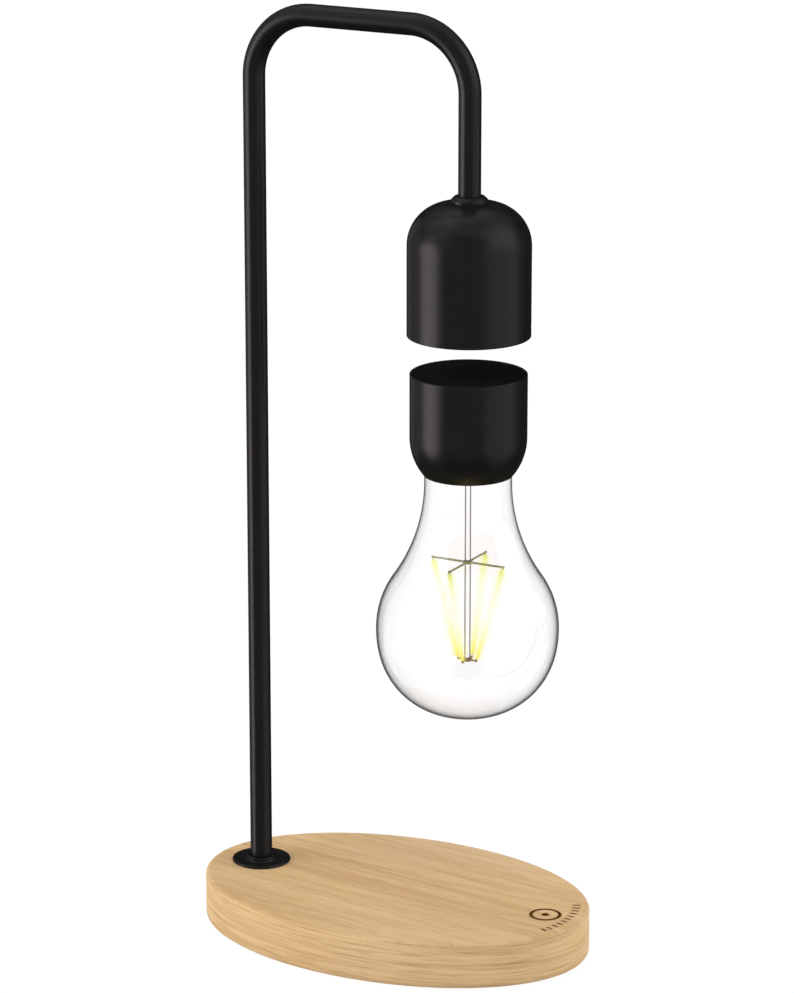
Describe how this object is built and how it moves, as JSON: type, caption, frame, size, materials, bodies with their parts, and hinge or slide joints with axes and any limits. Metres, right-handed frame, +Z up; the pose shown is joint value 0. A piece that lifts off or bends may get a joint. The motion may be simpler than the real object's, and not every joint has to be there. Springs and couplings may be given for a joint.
{
  "type": "levitating table lamp",
  "caption": "Table lamp with an oval oak base, a bent tube arm and a bell-shaped head, under which a clear filament bulb in a cup floats and turns freely.",
  "frame": {"origin": "middle of the oval base, on the surface that the rubber feet stand on", "axes": "+Z up, +X along the base from the arm's foot to the touch mark, +Y to the side with the power inlet"},
  "size_m": [0.1494, 0.1, 0.3393],
  "materials": {
    "oak": "light oak, fine long grain, matt oil",
    "black_coat": "satin black powder coat on steel",
    "black_plastic": "matt black moulding",
    "foot_rubber": "soft black rubber",
    "steel": "zinc plated steel",
    "circuit_board": "green circuit board",
    "copper": "bare copper",
    "ivory_plastic": "ivory nylon",
    "wire_jacket": "silicone jacket",
    "magnet_nickel": "nickel plated magnet",
    "core_iron": "soft iron",
    "ferrite": "sintered ferrite",
    "clear_glass": "clear blown glass",
    "wire_brass": "thin brass wire",
    "filament_glow": "phosphor coated strip, lit warm white"
  },
  "bodies": {
    "stand": {"base_block": "oak", "base_cover": "black_plastic", "cover_screws": "steel", "rubber_feet": "foot_rubber", "ballast_plate": "steel", "ballast_screws": "steel", "control_board": "circuit_board", "board_screws": "steel", "touch_plate": "copper", "touch_lead": "copper", "power_jack": "black_plastic", "jack_pin": "steel", "jack_leads": "copper", "harness_plug": "ivory_plastic", "arm_flange": "black_coat", "arm_tube": "black_coat", "arm_washer": "steel", "arm_nut": "steel", "arm_wires": "wire_jacket", "head_collar": "black_coat", "head_shell": "black_coat", "head_nut": "steel", "driver_board": "circuit_board", "bias_magnet": "magnet_nickel", "magnet_core": "core_iron", "coil_bobbin": "ivory_plastic", "lift_coil": "copper", "ferrite_sheet": "ferrite", "transmit_coil": "copper", "sensor_board": "circuit_board", "head_cap": "black_plastic", "cap_screws": "steel"},
    "float": {"float_magnet": "magnet_nickel"},
    "bulb": {"cup_shell": "black_coat", "cup_lid": "black_plastic", "magnet_cradle": "ivory_plastic", "receive_coil": "copper", "receiver_ferrite": "ferrite", "receiver_board": "circuit_board", "neck_ring": "black_plastic", "glass_envelope": "clear_glass", "glass_stem": "clear_glass", "lead_wires": "copper", "support_cross": "wire_brass", "filament_1": "filament_glow", "filament_2": "filament_glow", "filament_3": "filament_glow", "filament_4": "filament_glow", "filament_hub": "wire_brass"}
  },
  "joints": [
    {"name": "bulb_float", "type": "slide", "parent": "stand", "child": "float", "axis": [0, 0, 1], "range_m": [-0.06, 0.0125], "stiffness_N_per_m": 40, "springref_m": 0.0265},
    {"name": "bulb_spin", "type": "hinge", "parent": "float", "child": "bulb", "pos_m": [0.029, 0, 0.2], "axis": [0, 0, 1], "continuous": true}
  ]
}
